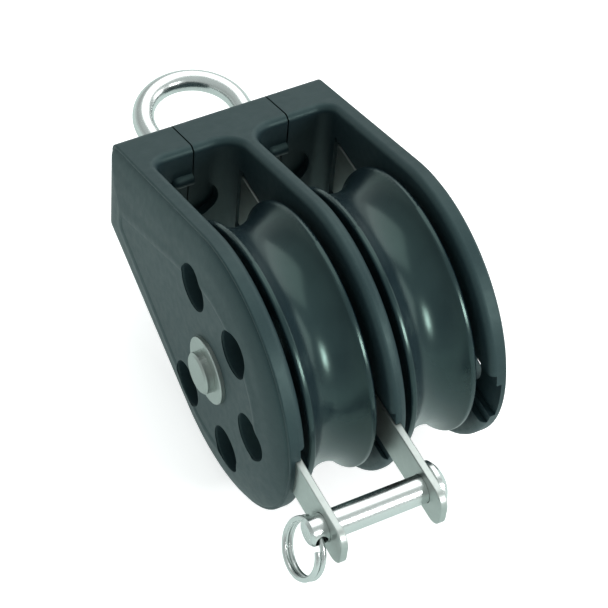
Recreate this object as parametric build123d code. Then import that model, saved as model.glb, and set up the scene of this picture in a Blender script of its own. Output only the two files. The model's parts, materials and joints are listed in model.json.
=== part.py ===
from build123d import *
import math
import os

# Double sheave block with a fixed head eye and a becket, in millimetres.
#
# X runs along the axle, Y from the axle towards the head eye, and Z out of the open front.
# Every piece is drawn about the axle's centre, and is moved at the end so that the origin
# is the centre of the head eye.

# Body mouldings
BODY_WIDTH = 45.0
CHEEK_RADIUS = 26.0
CHEEK_THICK = 5.2
MID_THICK = 3.0
HEAD_TOP = 45.1
HEAD_HALF_DEPTH = 10.6
HEAD_CORNER = 2.4
LEAST_CORNER = 0.9
CEILING = 35.1
FLANGE_X = 20.4
FLANGE_ROUND = 0.3
OPENING_ROUND = 1.2
CHEEK_THROAT_CORNER = 2.7
MID_THROAT_CORNER = 4.6
SEAM_GAP = 0.28
HOLE_RADIUS = 4.3
HOLE_PITCH_RADIUS = 15.35
HOLE_EDGE_ROUND = 0.45
HOLE_ANGLES = [60, 120, 180, 240, 300]
FIT = 0.1

# The crowned shell outside each cheek's flange
CROWN_STEP = 0.5
CROWN_REACH = 8.8
CROWN_SHAPE = 1.4
CROWN_SECTIONS = 7

# Head eye, its collars and the plate that ties them to the straps
ROD_RADIUS = 2.0
LEG_X = 9.27
CROWN_Y = 53.8
LEG_END_Y = 37.4
COLLAR_RADIUS = 3.2
COLLAR_CAVITY_Y = 37.3
COLLAR_END_Y = 37.7
PLATE_LOW_Y = 39.3
PLATE_THICK = 2.0
PLATE_HALF_LENGTH = 20.3
PLATE_HALF_DEPTH = 6.9
POCKET_RADIUS = 5.1
POCKET_DEPTH = 1.6
LUG_RADIUS = 1.35
LUG_LENGTH = 2.7
LUG_Y = 35.3
LUG_Z = 6.6
DOWEL_RADIUS = 0.8
DOWEL_LENGTH = 6.4
DOWEL_Y = 36.6

# Load straps
STRAP_THICK = 1.3
STRAP_HALF_WIDTH = 6.4
BECKET_HALF_WIDTH = 4.2
TENON_HALF_WIDTH = 3.2
PEEN_HEIGHT = 0.8
PEEN_OVERHANG = 0.35
OUTER_STRAP_X = 18.1
CENTRE_STRAP_X = -1.15
STRAP_TAPER_Y = (-4.0, -14.0)
STRAP_TAPER_ROUND = 6.0
STRAP_END_Y = -42.3
STRAP_CORNER = 3.0
STRAP_EDGE_ROUND = 0.2
STRAP_ENTRY_Y = 32.0
RELIEF_CLEARANCE = 2.3
RELIEF_DEPTH = 0.35

# Axle, sleeves, bushes and washers
AXLE_RADIUS = 3.0
AXLE_HEAD_RADIUS = 3.75
AXLE_HEAD_HEIGHT = 1.6
CHEEK_WASHER_RADIUS = 6.1
CHEEK_WASHER_THICK = 0.8
SLEEVE_RADIUS = 4.5
BUSH_RADIUS = 5.5
RUNNING_CLEARANCE = 0.05
THRUST_RADIUS = 6.0
THRUST_THICK = 0.6
SIDE_PLAY = 0.2

# Sheaves, for a rope up to 10 mm
SHEAVE_RADIUS = 24.1
SHEAVE_HALF_WIDTH = 6.3
SHEAVE_X = 9.5
GROOVE_DEPTH = 2.7
GROOVE_HALF_WIDTH = 5.2
LIP_ROUND = 0.5
HUB_RADIUS = 7.4
RIM_INNER_RADIUS = 16.8
WEB_HALF_THICK = 2.2

# Becket pin and its split ring
PIN_Y = -36.2
PIN_RADIUS = 2.5
PIN_END_X = -22.5
PIN_HOLE_CLEARANCE = 0.08
PIN_HEAD_RADIUS = 4.15
PIN_HEAD_HEIGHT = 2.6
PIN_HEAD_BAND = 0.9
CROSS_HOLE_X = -20.9
CROSS_HOLE_RADIUS = 1.15
RING_RADIUS = 5.0
WIRE_RADIUS = 0.5
RING_PITCH = 1.12
RING_TURNS = 1.75
RING_OFFSET = 0.33
RING_TILT = 20.0

HALF_WIDTH = BODY_WIDTH / 2
CHEEK_INNER = HALF_WIDTH - CHEEK_THICK
MID_FACE = MID_THICK / 2
PLATE_TOP_Y = PLATE_LOW_Y + PLATE_THICK
OUTER_STRAP_FLOOR = OUTER_STRAP_X + STRAP_THICK
CENTRE_STRAP_FLOOR = CENTRE_STRAP_X + STRAP_THICK


# ---------------------------------------------------------------- helpers
def span_box(x_range, y_range, z_range):
    """A box between two limits on each axis."""
    size = [high - low for low, high in (x_range, y_range, z_range)]
    centre = [(low + high) / 2 for low, high in (x_range, y_range, z_range)]
    return Pos(*centre) * Box(*size)


def rod_x(radius, x_low, x_high, y=0.0, z=0.0):
    """A cylinder along X."""
    middle = (x_low + x_high) / 2
    return Pos(middle, y, z) * Rot(0, 90, 0) * Cylinder(radius, x_high - x_low)


def tube_x(outer, inner, x_low, x_high):
    """A plain ring or sleeve on the axle's axis."""
    return rod_x(outer, x_low, x_high) - rod_x(inner, x_low - 1, x_high + 1)


def rod_y(radius, y_low, y_high, x=0.0, z=0.0):
    """A cylinder along Y."""
    middle = (y_low + y_high) / 2
    return Pos(x, middle, z) * Rot(90, 0, 0) * Cylinder(radius, y_high - y_low)


def slab_x(sketch, x_low, x_high):
    """A sketch drawn in (Y, Z), made solid between two X positions."""
    return extrude(Plane.YZ.offset(x_low) * sketch, x_high - x_low)


# ---------------------------------------------------------------- body mouldings
def side_outline(inset=0.0):
    """The teardrop seen along the axle: a round cheek with straight flanks up to the head."""
    radius = CHEEK_RADIUS - inset
    top = HEAD_TOP - inset
    half_depth = HEAD_HALF_DEPTH - inset
    reach = math.hypot(top, half_depth)
    angle = math.atan2(half_depth, top) + math.acos(radius / reach)
    touch = (radius * math.cos(angle), radius * math.sin(angle))
    head = Polygon((top, half_depth), touch, (touch[0], -touch[1]), (top, -half_depth), align=None)
    outline = Circle(radius) + head
    corners = outline.vertices().group_by(Axis.X)[-1]
    return fillet(corners, max(HEAD_CORNER - inset, LEAST_CORNER))


def crowned_shell(side):
    """The gently domed outside of a cheek, from its flange out to the flat round the axle."""
    sections = []
    for count in range(CROWN_SECTIONS):
        turn = math.pi / 2 * count / (CROWN_SECTIONS - 1)
        inset = CROWN_STEP + CROWN_REACH * (1 - math.cos(turn))
        x = FLANGE_X + (HALF_WIDTH - FLANGE_X) * math.sin(turn) ** CROWN_SHAPE
        sections.append(Plane.YZ.offset(side * x) * side_outline(inset))
    return loft(sections)


def chamber_profile(side):
    """One sheave chamber seen from the front; side is -1 for left and 1 for right."""
    low_x, high_x = sorted((side * MID_FACE, side * CHEEK_INNER))
    opening = Polygon((low_x, -40), (high_x, -40), (high_x, CEILING), (low_x, CEILING), align=None)
    top = opening.vertices().group_by(Axis.Y)[-1].sort_by(lambda v: abs(v.X))
    opening = fillet(top[0], MID_THROAT_CORNER)
    top = opening.vertices().sort_by(lambda v: (v.Y, abs(v.X)))
    outer = [v for v in top if abs(abs(v.X) - CHEEK_INNER) < 0.01 and abs(v.Y - CEILING) < 0.01]
    return fillet(outer, CHEEK_THROAT_CORNER)


def body_blank():
    """The whole body before it is parted at the two seams."""
    flanged = slab_x(side_outline(), -FLANGE_X, FLANGE_X)
    rims = flanged.faces().filter_by(Axis.X)
    body = fillet(rims.edges(), FLANGE_ROUND)
    for side in (-1, 1):
        body = body + crowned_shell(side)
    for side in (-1, 1):
        cut = extrude(chamber_profile(side), 40, both=True)
        opened = body - cut
        walls = [f for f in opened.faces() if on_chamber_wall(f, side)]
        mouth = [e for e in ShapeList(walls).edges() if not on_ceiling_line(e)]
        body = fillet(mouth, OPENING_ROUND)
    return body


def on_chamber_wall(face, side):
    """True for the flat and rounded walls of one chamber."""
    centre = face.center()
    inside = MID_FACE - 0.01 < side * centre.X < CHEEK_INNER + 0.01
    return inside and abs(face.normal_at(centre).Z) < 0.01 and centre.Y < CEILING + 0.01


def on_ceiling_line(edge):
    """True for the straight front-to-back lines inside a chamber."""
    if edge.geom_type != GeomType.LINE:
        return False
    return abs((edge @ 1 - edge @ 0).normalized().Z) > 0.99


def strap_sketch(clearance=0.0):
    """The outline of a long load strap in (Y, Z), widened by a clearance."""
    wide = STRAP_HALF_WIDTH + clearance
    narrow = BECKET_HALF_WIDTH + clearance
    taper_top, taper_low = STRAP_TAPER_Y
    right = [(PLATE_LOW_Y, wide), (taper_top, wide), (taper_low, narrow), (STRAP_END_Y, narrow)]
    left = [(y, -z) for y, z in reversed(right)]
    blade = Polygon(*right, *left, align=None)
    bends = [v for v in blade.vertices() if taper_low - 1 < v.X < taper_top + 1]
    blade = fillet(bends, STRAP_TAPER_ROUND)
    return fillet(blade.vertices().group_by(Axis.X)[0], STRAP_CORNER)


def short_strap_sketch():
    """The short strap ends just below the axle."""
    blade = Pos(PLATE_LOW_Y / 2, 0) * Rectangle(PLATE_LOW_Y, 2 * STRAP_HALF_WIDTH)
    return blade + Circle(STRAP_HALF_WIDTH)


def strap_recess(x_floor, strap_face, wall_face):
    """The recess of a strap, and a wider, shallow relief that leaves the strap a little proud."""
    inward = math.copysign(1, wall_face - x_floor)
    beyond = wall_face + inward
    relief_floor = strap_face - inward * RELIEF_DEPTH
    recess = slab_x(strap_sketch(FIT), *sorted((x_floor, beyond)))
    relief = slab_x(strap_sketch(RELIEF_CLEARANCE), *sorted((relief_floor, beyond)))
    return (recess + relief) & span_box((-60, 60), (-60, STRAP_ENTRY_Y), (-60, 60))


def strap_slots():
    """The three slots that take the straps from the chambers up to the head plate."""
    slots = []
    for x_low in (-OUTER_STRAP_FLOOR, CENTRE_STRAP_X, OUTER_STRAP_X):
        x_range = (x_low, x_low + STRAP_THICK)
        wide = STRAP_HALF_WIDTH + FIT
        slots.append(span_box(x_range, (STRAP_ENTRY_Y - 1, PLATE_LOW_Y), (-wide, wide)))
        peen_x = (x_range[0] - PEEN_OVERHANG - FIT, x_range[1] + PEEN_OVERHANG + FIT)
        peen_z = TENON_HALF_WIDTH + PEEN_OVERHANG + FIT
        peen_y = (PLATE_TOP_Y, PLATE_TOP_Y + PEEN_HEIGHT + FIT)
        slots.append(span_box(peen_x, peen_y, (-peen_z, peen_z)))
    return slots


def head_cavities():
    """Everything cut from the head: plate pocket, strap slots, leg bores, collar and dowel holes."""
    length = PLATE_HALF_LENGTH + FIT
    depth = PLATE_HALF_DEPTH + FIT
    cuts = [span_box((-length, length), (PLATE_LOW_Y, PLATE_TOP_Y), (-depth, depth))]
    cuts += strap_slots()
    for side in (-1, 1):
        x = side * LEG_X
        cuts.append(rod_y(ROD_RADIUS + FIT / 2, COLLAR_CAVITY_Y, HEAD_TOP + 5, x))
        cuts.append(rod_y(COLLAR_RADIUS + FIT, COLLAR_CAVITY_Y, PLATE_LOW_Y, x))
        cuts.append(rod_y(POCKET_RADIUS, CEILING - 5, CEILING + POCKET_DEPTH, x))
        for z in (-LUG_Z, LUG_Z):
            half = DOWEL_LENGTH / 2 + FIT
            cuts.append(rod_x(DOWEL_RADIUS, x - half, x + half, DOWEL_Y, z))
    return cuts


def seam_lugs(x_seam):
    """Two round-ended lugs in the ceiling on the left side of a seam."""
    lugs = []
    for z in (-LUG_Z, LUG_Z):
        lugs.append(rod_x(LUG_RADIUS, x_seam - LUG_LENGTH, x_seam, LUG_Y, z))
        lugs.append(Pos(x_seam - LUG_LENGTH, LUG_Y, z) * Sphere(LUG_RADIUS))
    return lugs


def lightening_holes(side):
    """Five holes in a cheek, with the place towards the head left solid."""
    outer = side * HALF_WIDTH
    cuts = []
    for angle in HOLE_ANGLES:
        turn = math.radians(angle)
        y = HOLE_PITCH_RADIUS * math.cos(turn)
        z = HOLE_PITCH_RADIUS * math.sin(turn)
        low, high = sorted((side * (CHEEK_INNER - 1), side * (HALF_WIDTH + 1)))
        hole = rod_x(HOLE_RADIUS, low, high, y, z)
        mouth = Pos(outer, y, z) * Rot(0, 90, 0) * Torus(HOLE_RADIUS + HOLE_EDGE_ROUND, HOLE_EDGE_ROUND)
        inner_x = side * (HALF_WIDTH - HOLE_EDGE_ROUND)
        flare_low, flare_high = sorted((inner_x, side * (HALF_WIDTH + 1)))
        flare = rod_x(HOLE_RADIUS + HOLE_EDGE_ROUND, flare_low, flare_high, y, z)
        inset = Pos(inner_x, y, z) * Rot(0, 90, 0) * Torus(HOLE_RADIUS + HOLE_EDGE_ROUND, HOLE_EDGE_ROUND)
        cuts.append(hole + (flare - inset - mouth))
    return cuts


def parted(body, x_low, x_high, cuts, lugs):
    """One moulding: the body between two seams, with its lugs, less everything cut from it."""
    piece = body & span_box((x_low, x_high), (-60, 60), (-60, 60))
    for lug in lugs:
        piece = piece + lug
    for cut in cuts:
        piece = piece - cut
    return piece.solids().sort_by(SortBy.VOLUME)[-1]


def mouldings():
    """Left cheek, centre body with its partition, and right cheek."""
    body = body_blank()
    head = head_cavities()
    bore = rod_x(AXLE_RADIUS + FIT / 2, -60, 60)
    half_gap = SEAM_GAP / 2
    left_end = -LEG_X - half_gap
    right_end = LEG_X - half_gap
    sleeve_bore = rod_x(SLEEVE_RADIUS + FIT, -20, 20)
    left_recess = strap_recess(-OUTER_STRAP_FLOOR, -OUTER_STRAP_X, -CHEEK_INNER)
    right_recess = strap_recess(OUTER_STRAP_FLOOR, OUTER_STRAP_X, CHEEK_INNER)
    centre_recess = strap_recess(CENTRE_STRAP_FLOOR, CENTRE_STRAP_X, -MID_FACE)
    left_cuts = head + [bore, left_recess] + lightening_holes(-1)
    right_cuts = head + [bore, right_recess] + lightening_holes(1)
    centre_cuts = head + [sleeve_bore, centre_recess]
    left = parted(body, -60, left_end, left_cuts, seam_lugs(left_end))
    centre = parted(body, -LEG_X + half_gap, right_end, centre_cuts, seam_lugs(right_end))
    right = parted(body, LEG_X + half_gap, 60, right_cuts, [])
    return {"left_cheek": left, "centre_body": centre, "right_cheek": right}


# ---------------------------------------------------------------- head eye
def head_eye():
    """A round rod bent into an eye; its two legs pass down through the head."""
    left_leg = Line((-LEG_X, LEG_END_Y, 0), (-LEG_X, CROWN_Y, 0))
    crown = ThreePointArc((-LEG_X, CROWN_Y, 0), (0, CROWN_Y + LEG_X, 0), (LEG_X, CROWN_Y, 0))
    right_leg = Line((LEG_X, CROWN_Y, 0), (LEG_X, LEG_END_Y, 0))
    path = Wire([left_leg, crown, right_leg])
    section = Plane(origin=(-LEG_X, LEG_END_Y, 0), z_dir=(0, 1, 0)) * Circle(ROD_RADIUS)
    rod = sweep(section, path=path)
    ends = rod.faces().filter_by(GeomType.PLANE)
    return chamfer(ends.edges(), 0.4)


def leg_collar(side):
    """A collar swaged on a leg's end; it bears up on the head plate."""
    x = side * LEG_X
    collar = rod_y(COLLAR_RADIUS, COLLAR_END_Y, PLATE_LOW_Y, x)
    low_edge = collar.edges().sort_by(Axis.Y)[0]
    collar = fillet(low_edge, 0.6)
    return collar - rod_y(ROD_RADIUS, COLLAR_END_Y - 1, PLATE_LOW_Y + 1, x)


def head_plate():
    """The plate inside the head that ties the legs to the three straps."""
    plate = span_box(
        (-PLATE_HALF_LENGTH, PLATE_HALF_LENGTH),
        (PLATE_LOW_Y, PLATE_TOP_Y),
        (-PLATE_HALF_DEPTH, PLATE_HALF_DEPTH),
    )
    plate = fillet(plate.edges().filter_by(Axis.Y), 1.5)
    for side in (-1, 1):
        plate = plate - rod_y(ROD_RADIUS + FIT / 2, 30, 50, side * LEG_X)
    for x_low in (-OUTER_STRAP_FLOOR, CENTRE_STRAP_X, OUTER_STRAP_X):
        slot = (-TENON_HALF_WIDTH, TENON_HALF_WIDTH)
        plate = plate - span_box((x_low, x_low + STRAP_THICK), (30, 50), slot)
    return plate


def seam_dowels(side):
    """The two dowels that line up the mouldings across one seam."""
    x = side * LEG_X
    half = DOWEL_LENGTH / 2
    pins = []
    for z in (-LUG_Z, LUG_Z):
        pin = rod_x(DOWEL_RADIUS, x - half, x + half, DOWEL_Y, z)
        pins.append(chamfer(pin.edges().filter_by(GeomType.CIRCLE), 0.2))
    return Compound(children=pins)


# ---------------------------------------------------------------- straps
def strap(sketch, x_low, with_pin_hole):
    """A flat strap with its tenon peened over the head plate."""
    x_high = x_low + STRAP_THICK
    blade = slab_x(sketch, x_low, x_high)
    blade = fillet(blade.faces().filter_by(Axis.X).edges(), STRAP_EDGE_ROUND)
    blade = blade - rod_x(AXLE_RADIUS + FIT / 2, x_low - 1, x_high + 1)
    if with_pin_hole:
        blade = blade - rod_x(PIN_RADIUS + PIN_HOLE_CLEARANCE, x_low - 1, x_high + 1, PIN_Y)
    tenon_z = (-TENON_HALF_WIDTH, TENON_HALF_WIDTH)
    tenon = span_box((x_low, x_high), (PLATE_LOW_Y, PLATE_TOP_Y), tenon_z)
    peen_x = (x_low - PEEN_OVERHANG, x_high + PEEN_OVERHANG)
    peen_z = TENON_HALF_WIDTH + PEEN_OVERHANG
    peen = span_box(peen_x, (PLATE_TOP_Y, PLATE_TOP_Y + PEEN_HEIGHT), (-peen_z, peen_z))
    peen = chamfer(peen.faces().sort_by(Axis.Y)[-1].edges(), 0.3)
    return blade + tenon + peen


def straps():
    long_strap = strap_sketch()
    return {
        "left_strap": strap(long_strap, -OUTER_STRAP_FLOOR, True),
        "centre_strap": strap(long_strap, CENTRE_STRAP_X, True),
        "right_strap": strap(short_strap_sketch(), OUTER_STRAP_X, False),
    }


# ---------------------------------------------------------------- axle and bearings
def axle():
    """A rivet with a cylindrical head at each end."""
    neck = HALF_WIDTH + CHEEK_WASHER_THICK
    shaft = rod_x(AXLE_RADIUS, -neck, neck)
    for side in (-1, 1):
        low, high = sorted((side * neck, side * (neck + AXLE_HEAD_HEIGHT)))
        head = rod_x(AXLE_HEAD_RADIUS, low, high)
        rim = head.edges().filter_by(GeomType.CIRCLE).sort_by(lambda e: abs(e.center().X))[-1]
        shaft = shaft + chamfer(rim, 0.35)
    return shaft


def cheek_washer(side):
    """The washer under an axle head."""
    low, high = sorted((side * HALF_WIDTH, side * (HALF_WIDTH + CHEEK_WASHER_THICK)))
    washer = tube_x(CHEEK_WASHER_RADIUS, AXLE_RADIUS + FIT / 2, low, high)
    rims = washer.edges().filter_by(GeomType.CIRCLE)
    outer = rims.sort_by(lambda e: (e.radius, abs(e.center().X)))[-1]
    return fillet(outer, 0.2)


def hub_stack(side):
    """X limits of the sleeve, the two thrust washers and the hub on one side."""
    if side < 0:
        inner, inner_washer = CENTRE_STRAP_X, CENTRE_STRAP_X
    else:
        inner, inner_washer = CENTRE_STRAP_FLOOR, MID_FACE
    outer = side * OUTER_STRAP_X
    hub_inner = inner_washer + side * (THRUST_THICK + SIDE_PLAY)
    hub_outer = outer - side * (THRUST_THICK + SIDE_PLAY)
    return {
        "sleeve": sorted((inner, outer)),
        "inner_thrust": sorted((inner_washer, inner_washer + side * THRUST_THICK)),
        "outer_thrust": sorted((outer - side * THRUST_THICK, outer)),
        "hub": sorted((hub_inner, hub_outer)),
    }


def sheave_profile(hub):
    """Half section of a sheave in (X, radius), with a round-bottomed rope groove."""
    middle = SHEAVE_X * (1 if hub[0] + hub[1] > 0 else -1)
    left = middle - SHEAVE_HALF_WIDTH
    right = middle + SHEAVE_HALF_WIDTH
    groove_left = (middle - GROOVE_HALF_WIDTH, SHEAVE_RADIUS)
    groove_right = (middle + GROOVE_HALF_WIDTH, SHEAVE_RADIUS)
    groove = ThreePointArc(groove_left, (middle, SHEAVE_RADIUS - GROOVE_DEPTH), groove_right)
    sides = Polyline(
        groove_right,
        (right, SHEAVE_RADIUS),
        (right, RIM_INNER_RADIUS),
        (middle + WEB_HALF_THICK, RIM_INNER_RADIUS - 1),
        (middle + WEB_HALF_THICK, HUB_RADIUS + 1),
        (hub[1], HUB_RADIUS),
        (hub[1], BUSH_RADIUS),
        (hub[0], BUSH_RADIUS),
        (hub[0], HUB_RADIUS),
        (middle - WEB_HALF_THICK, HUB_RADIUS + 1),
        (middle - WEB_HALF_THICK, RIM_INNER_RADIUS - 1),
        (left, RIM_INNER_RADIUS),
        (left, SHEAVE_RADIUS),
        groove_left,
    )
    section = make_face(Curve() + [groove, sides])
    lips = section.vertices().group_by(Axis.Y)[-1]
    return fillet(lips, LIP_ROUND)


def sheave(side):
    """A moulded wheel with a rope groove and a web between rim and hub."""
    return revolve(sheave_profile(hub_stack(side)["hub"]), Axis.X)


def bearings(side, name):
    """Sleeve, bush and thrust washers that carry one sheave."""
    stack = hub_stack(side)
    thrust_bore = SLEEVE_RADIUS + 0.02
    return {
        name + "_axle_sleeve": tube_x(SLEEVE_RADIUS, AXLE_RADIUS + 0.03, *stack["sleeve"]),
        name + "_hub_bush": tube_x(BUSH_RADIUS, SLEEVE_RADIUS + RUNNING_CLEARANCE, *stack["hub"]),
        name + "_inner_thrust_washer": tube_x(THRUST_RADIUS, thrust_bore, *stack["inner_thrust"]),
        name + "_outer_thrust_washer": tube_x(THRUST_RADIUS, thrust_bore, *stack["outer_thrust"]),
    }


# ---------------------------------------------------------------- becket pin and split ring
def becket_pin():
    """A clevis pin with a domed head; a cross hole near its end takes the split ring."""
    seat = CENTRE_STRAP_FLOOR + 0.05
    crown = seat + PIN_HEAD_HEIGHT
    shoulder = (seat + PIN_HEAD_BAND, PIN_HEAD_RADIUS)
    rise = PIN_HEAD_HEIGHT - PIN_HEAD_BAND
    dome_radius = (PIN_HEAD_RADIUS**2 + rise**2) / (2 * rise)
    half_way = PIN_HEAD_RADIUS * 0.6
    over = (crown - dome_radius + math.sqrt(dome_radius**2 - half_way**2), half_way)
    outline = Polyline(
        (crown, 0),
        (PIN_END_X, 0),
        (PIN_END_X, PIN_RADIUS - 0.5),
        (PIN_END_X + 0.5, PIN_RADIUS),
        (seat, PIN_RADIUS),
        (seat, PIN_HEAD_RADIUS - 0.2),
        (seat + 0.2, PIN_HEAD_RADIUS),
        shoulder,
    )
    dome = ThreePointArc(shoulder, over, (crown, 0))
    section = make_face(Curve() + [outline, dome])
    pin = Pos(0, PIN_Y, 0) * revolve(section, Axis.X)
    return pin - rod_y(CROSS_HOLE_RADIUS, PIN_Y - 5, PIN_Y + 5, CROSS_HOLE_X)


def split_ring():
    """A flat coil of wire: a single turn through the cross hole, doubled on the far side."""
    height = RING_PITCH * RING_TURNS
    coil = Helix(RING_PITCH, height, RING_RADIUS)
    start = coil @ 0
    section = Plane(origin=start, z_dir=coil % 0) * Circle(WIRE_RADIUS)
    ring = sweep(section, path=coil, is_frenet=True)
    ring = Pos(0, 0, -height / 2) * ring
    ring = Rot(0, 0, -180 * RING_TURNS) * ring
    hanging = Rot(0, -90, 0) * Pos(-RING_RADIUS + RING_OFFSET, 0, 0) * ring
    return Pos(CROSS_HOLE_X, PIN_Y, 0) * Rot(0, RING_TILT, 0) * hanging


# ---------------------------------------------------------------- assembly
def build():
    parts = {}
    parts.update(mouldings())
    parts["head_eye"] = head_eye()
    parts["head_plate"] = head_plate()
    parts.update(straps())
    parts["axle"] = axle()
    parts["becket_pin"] = becket_pin()
    parts["split_ring"] = split_ring()
    for side, name in ((-1, "left"), (1, "right")):
        parts[name + "_leg_collar"] = leg_collar(side)
        parts[name + "_seam_dowels"] = seam_dowels(side)
        parts[name + "_cheek_washer"] = cheek_washer(side)
        parts[name + "_sheave"] = sheave(side)
        parts.update(bearings(side, name))
    return parts


os.makedirs("parts", exist_ok=True)
for node, shape in build().items():
    export_step(Pos(0, -CROWN_Y, 0) * shape, "parts/" + node + ".step")
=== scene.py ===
"""Looks for the double sheave block: materials, camera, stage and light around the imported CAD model."""

import json

import bpy
from mathutils import Matrix, Vector


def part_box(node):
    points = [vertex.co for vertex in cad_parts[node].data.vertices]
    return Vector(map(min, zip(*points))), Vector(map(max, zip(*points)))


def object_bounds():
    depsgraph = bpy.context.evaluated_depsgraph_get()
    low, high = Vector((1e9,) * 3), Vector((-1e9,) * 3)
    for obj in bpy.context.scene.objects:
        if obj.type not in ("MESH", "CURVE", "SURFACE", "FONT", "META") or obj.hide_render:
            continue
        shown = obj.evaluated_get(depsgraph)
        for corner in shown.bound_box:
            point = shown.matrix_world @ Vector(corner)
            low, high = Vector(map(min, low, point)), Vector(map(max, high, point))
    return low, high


MM = 0.001

# The camera: metres, unit directions, and millimetres for the lens and sensor.
CAMERA_PLACE = (-0.139365, -0.269809, 0.324981)
CAMERA_RIGHT = (0.88935, -0.45205, 0.06859)
CAMERA_FORWARD = (0.33081, 0.53263, -0.77902)
CAMERA_LENS = 142.5
CAMERA_SENSOR = 36.0
CAMERA_CLIP_START = 0.01

# The stage: half the side of a floor sheet, and each sheet's drop, colour and glow.
FLOOR_HALF_SIZE = 2.5
FLOOR_ROUGHNESS = 0.9
WHITE_FLOOR = {"drop": 0.2 * MM, "colour": (0.9, 0.9, 0.9), "glow": 0.6}
GREY_FLOOR = {"drop": 0.4 * MM, "colour": (0.50, 0.58, 0.56), "glow": 0.05}

# The studio background: (height of the direction, brightness) stops, and their tint.
WORLD_STOPS = ((0.0, 0.60), (0.10, 0.72), (0.35, 0.45), (0.60, 0.62), (1.0, 0.70))
WORLD_TINT = (0.92, 1.0, 0.98)

# The softboxes: name, place, (width, height) and watts.
SOFTBOXES = (
    ("back", (0.6, 0.55, 0.95), (1.3, 1.6), 9.5),
    ("front", (0.48, -1.05, 0.62), (0.22, 0.36), 7.0),
    ("right", (0.9, -0.3, 0.35), (0.5, 0.5), 1.5),
)

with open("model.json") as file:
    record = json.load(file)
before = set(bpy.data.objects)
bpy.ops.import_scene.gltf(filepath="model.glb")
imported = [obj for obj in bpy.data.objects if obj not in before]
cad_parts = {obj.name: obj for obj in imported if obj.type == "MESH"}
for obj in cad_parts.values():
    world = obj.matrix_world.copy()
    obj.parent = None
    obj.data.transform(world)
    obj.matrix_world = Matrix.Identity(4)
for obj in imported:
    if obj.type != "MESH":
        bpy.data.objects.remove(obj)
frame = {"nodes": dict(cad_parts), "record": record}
cad_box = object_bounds()

AXLE_Y = sum(corner.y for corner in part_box("axle")) / 2


# ---------------------------------------------------------------- shader helpers
class Shader:
    """A node material with the few node patterns that this scene repeats."""

    def __init__(self, name):
        self.material = bpy.data.materials.new(name)
        self.material.use_nodes = True
        self.tree = self.material.node_tree
        self.surface = self.tree.nodes["Principled BSDF"]
        coordinates = self.node("ShaderNodeTexCoord")
        self.place = coordinates.outputs["Object"]

    def node(self, kind, **settings):
        """A new node with its settings."""
        made = self.tree.nodes.new(kind)
        for name, value in settings.items():
            setattr(made, name, value)
        return made

    def link(self, source, target):
        self.tree.links.new(source, target)

    def noise(self, size, detail=3.0, rough=0.55, place=None):
        """Noise whose blobs are about size metres across."""
        made = self.node("ShaderNodeTexNoise")
        made.inputs["Scale"].default_value = 1 / size
        made.inputs["Detail"].default_value = detail
        made.inputs["Roughness"].default_value = rough
        self.link(place or self.place, made.inputs["Vector"])
        return made.outputs["Fac"]

    def stretched(self, scale):
        """The object's coordinates, stretched, for brushed and turned marks."""
        mapping = self.node("ShaderNodeMapping")
        mapping.inputs["Scale"].default_value = scale
        self.link(self.place, mapping.inputs["Vector"])
        return mapping.outputs["Vector"]

    def math(self, operation, first, second):
        """One sum of two values, each a number or another node's output."""
        made = self.node("ShaderNodeMath", operation=operation)
        for socket, value in zip(made.inputs, (first, second)):
            if isinstance(value, (int, float)):
                socket.default_value = value
            else:
                self.link(value, socket)
        return made.outputs[0]

    def ramp(self, source, low, high, value_low, value_high):
        """Source from low to high becomes value_low to value_high, and is held beyond them."""
        made = self.node("ShaderNodeMapRange")
        limits = {"From Min": low, "From Max": high, "To Min": value_low, "To Max": value_high}
        for name, value in limits.items():
            made.inputs[name].default_value = value
        self.link(source, made.inputs["Value"])
        return made.outputs["Result"]

    def blend(self, share, first, second):
        """A colour from first to second by share."""
        made = self.node("ShaderNodeMix", data_type="RGBA")
        self.link(share, made.inputs["Factor"])
        made.inputs["A"].default_value = (*first, 1)
        made.inputs["B"].default_value = (*second, 1)
        return made.outputs["Result"]

    def bumps(self, *layers):
        """Layers of (height, depth in metres), stacked into the surface's normal."""
        normal = None
        for height, depth in layers:
            made = self.node("ShaderNodeBump")
            made.inputs["Strength"].default_value = 1.0
            made.inputs["Distance"].default_value = depth
            self.link(height, made.inputs["Height"])
            if normal:
                self.link(normal, made.inputs["Normal"])
            normal = made.outputs["Normal"]
        self.link(normal, self.surface.inputs["Normal"])

    def colour(self, socket):
        self.link(socket, self.surface.inputs["Base Color"])

    def roughness(self, socket):
        self.link(socket, self.surface.inputs["Roughness"])

    def set(self, **values):
        """Numbers and colours that are the same all over the surface."""
        for name, value in values.items():
            self.surface.inputs[name.replace("_", " ").title()].default_value = value


# ---------------------------------------------------------------- materials
def moulded_nylon():
    """Glass-filled nylon: a fine even grain, faint mottling and a dull green-grey sheen."""
    s = Shader("moulded_nylon")
    clouds = s.noise(9 * MM, 3, 0.5)
    fleck = s.noise(0.4 * MM, 2, 0.5)
    shade = s.math("ADD", s.math("MULTIPLY", clouds, 0.4), s.math("MULTIPLY", fleck, 0.6))
    s.colour(s.blend(s.ramp(shade, 0.35, 0.65, 0, 1), (0.009, 0.020, 0.026), (0.013, 0.027, 0.032)))
    s.roughness(s.ramp(s.noise(1.6 * MM), 0.3, 0.7, 0.46, 0.54))
    s.bumps((s.noise(0.25 * MM, 3, 0.6), 0.012 * MM), (s.noise(1.1 * MM, 2), 0.005 * MM))
    s.set(specular_tint=(0.70, 1.0, 0.93, 1))
    return s.material


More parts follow.
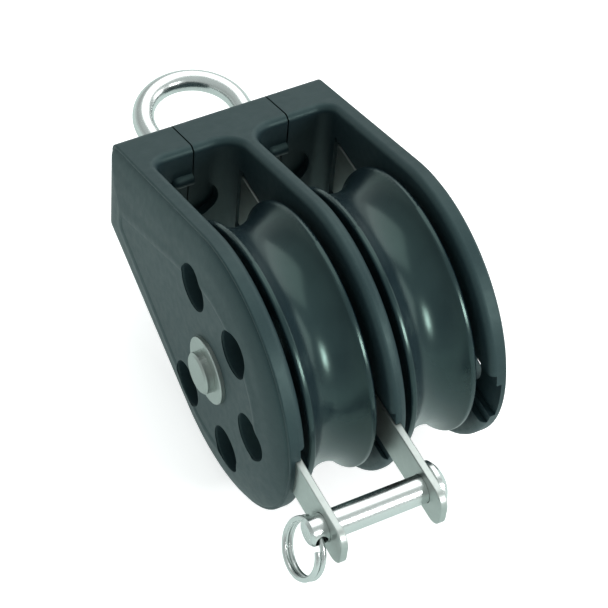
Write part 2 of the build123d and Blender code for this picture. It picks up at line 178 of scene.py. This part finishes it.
def moulded_acetal():
    """Sheave acetal: smoother and darker than the body, with faint turned lines round the axle."""
    s = Shader("moulded_acetal")
    clouds = s.noise(6 * MM, 3, 0.5)
    s.colour(s.blend(s.ramp(clouds, 0.35, 0.65, 0, 1), (0.007, 0.015, 0.020), (0.010, 0.020, 0.025)))
    s.roughness(s.ramp(s.noise(2.2 * MM, 3), 0.3, 0.7, 0.23, 0.27))
    turned = s.noise(0.5 * MM, 2, 0.5, s.stretched((1, 0.04, 0.04)))
    s.bumps((turned, 0.0015 * MM), (s.noise(0.4 * MM), 0.001 * MM))
    s.set(specular_tint=(0.66, 1.0, 0.88, 1))
    return s.material


def white_acetal():
    """The bushes and thrust washers."""
    s = Shader("white_acetal")
    s.colour(s.blend(s.noise(2 * MM), (0.66, 0.64, 0.56), (0.78, 0.77, 0.70)))
    s.roughness(s.ramp(s.noise(0.8 * MM), 0.3, 0.7, 0.32, 0.42))
    s.bumps((s.noise(0.3 * MM), 0.005 * MM))
    return s.material


def metal(name, tints, roughness, grain, depth, stretch=(1, 1, 1)):
    """Stainless steel from two tints, two roughnesses and a grain of one size, depth and stretch."""
    s = Shader(name)
    s.set(metallic=1.0)
    s.colour(s.blend(s.noise(3 * MM, 4), *tints))
    lines = s.noise(grain, 4, 0.65, s.stretched(stretch))
    s.roughness(s.ramp(lines, 0.3, 0.7, *roughness))
    s.bumps((lines, depth))
    return s.material


def polished_stainless():
    """The eye, the clevis pin and the split ring: fine marks under a soft shine."""
    tints = ((0.60, 0.63, 0.62), (0.68, 0.71, 0.70))
    return metal("polished_stainless", tints, (0.20, 0.28), 0.6 * MM, 0.002 * MM)


def satin_stainless():
    """The rivet and its washers, the sleeves, collars and dowels: dull and darker."""
    tints = ((0.36, 0.40, 0.38), (0.44, 0.48, 0.46))
    return metal("satin_stainless", tints, (0.30, 0.42), 0.3 * MM, 0.004 * MM)


def tumbled_stainless():
    """The load straps and the head plate, with marks drawn out along the block."""
    tints = ((0.40, 0.44, 0.42), (0.50, 0.54, 0.52))
    return metal("tumbled_stainless", tints, (0.34, 0.46), 0.35 * MM, 0.005 * MM, (1, 0.35, 1))


def build_materials():
    """The material of each slot in the record."""
    return {
        "body_moulding": moulded_nylon(),
        "sheave_moulding": moulded_acetal(),
        "bearing_plastic": white_acetal(),
        "polished_steel": polished_stainless(),
        "satin_steel": satin_stainless(),
        "strap_steel": tumbled_stainless(),
    }


def dress_cad_nodes():
    """Every CAD node gets the material of its slot in the record."""
    materials = build_materials()
    for part in frame["record"]["subparts"]:
        node = frame["nodes"][part["node"]]
        for slot in node.material_slots:
            slot.material = materials[part["material_slot"]]


# ---------------------------------------------------------------- camera, stage and light
def add_camera():
    """A long lens that looks down on the open front from the left."""
    forward = Vector(CAMERA_FORWARD).normalized()
    up = Vector(CAMERA_RIGHT).cross(forward).normalized()
    right = forward.cross(up).normalized()
    data = bpy.data.cameras.new("camera")
    data.lens = CAMERA_LENS
    data.sensor_width = CAMERA_SENSOR
    data.clip_start = CAMERA_CLIP_START
    camera = bpy.data.objects.new("camera", data)
    turn = Matrix((right, up, -forward)).transposed()
    camera.matrix_world = Matrix.Translation(CAMERA_PLACE) @ turn.to_4x4()
    bpy.context.scene.collection.objects.link(camera)
    bpy.context.scene.camera = camera


def add_floor_sheet(name, drop, colour, glow):
    """One large level sheet, a drop below the block, with its own colour and glow."""
    z = cad_box[0][2] - drop
    size = FLOOR_HALF_SIZE
    corners = [(-size, -size, z), (size, -size, z), (size, size, z), (-size, size, z)]
    mesh = bpy.data.meshes.new(name)
    mesh.from_pydata(corners, [], [(0, 1, 2, 3)])
    sheet = bpy.data.objects.new(name, mesh)
    bpy.context.scene.collection.objects.link(sheet)
    material = bpy.data.materials.new(name)
    material.use_nodes = True
    surface = material.node_tree.nodes["Principled BSDF"]
    surface.inputs["Base Color"].default_value = (*colour, 1)
    surface.inputs["Roughness"].default_value = FLOOR_ROUGHNESS
    surface.inputs["Emission Color"].default_value = (1, 1, 1, 1)
    surface.inputs["Emission Strength"].default_value = glow
    mesh.materials.append(material)
    return sheet


def add_floor():
    """A white floor that glows a little, and a grey-green sheet under it that only reflections see."""
    white = add_floor_sheet("floor", **WHITE_FLOOR)
    white.visible_glossy = False
    white.visible_shadow = False
    grey = add_floor_sheet("reflected_floor", **GREY_FLOOR)
    grey.visible_camera = False
    grey.visible_diffuse = False


def add_world():
    """A pale studio with a darker ring part of the way up, so that polished metal has bands."""
    world = bpy.data.worlds.new("studio")
    world.use_nodes = True
    tree = world.node_tree
    background = tree.nodes["Background"]
    coordinates = tree.nodes.new("ShaderNodeTexCoord")
    split = tree.nodes.new("ShaderNodeSeparateXYZ")
    ramp = tree.nodes.new("ShaderNodeValToRGB")
    tree.links.new(coordinates.outputs["Generated"], split.inputs["Vector"])
    tree.links.new(split.outputs["Z"], ramp.inputs["Fac"])
    tree.links.new(ramp.outputs["Color"], background.inputs["Color"])
    elements = ramp.color_ramp.elements
    while len(elements) < len(WORLD_STOPS):
        elements.new(0.5)
    for element, (position, level) in zip(elements, WORLD_STOPS):
        element.position = position
        element.color = (*(level * tint for tint in WORLD_TINT), 1)
    background.inputs["Strength"].default_value = 1.0
    bpy.context.scene.world = world


def add_lights():
    """Softboxes that all face the axle."""
    centre = Vector((0, AXLE_Y, 0))
    for name, place, size, power in SOFTBOXES:
        data = bpy.data.lights.new(name, "AREA")
        data.shape = "RECTANGLE"
        data.size, data.size_y = size
        data.energy = power
        light = bpy.data.objects.new(name, data)
        light.location = place
        light.rotation_euler = (centre - Vector(place)).to_track_quat("-Z", "Y").to_euler()
        bpy.context.scene.collection.objects.link(light)


dress_cad_nodes()
add_camera()
add_floor()
add_world()
add_lights()
bpy.context.scene.view_settings.view_transform = "Standard"
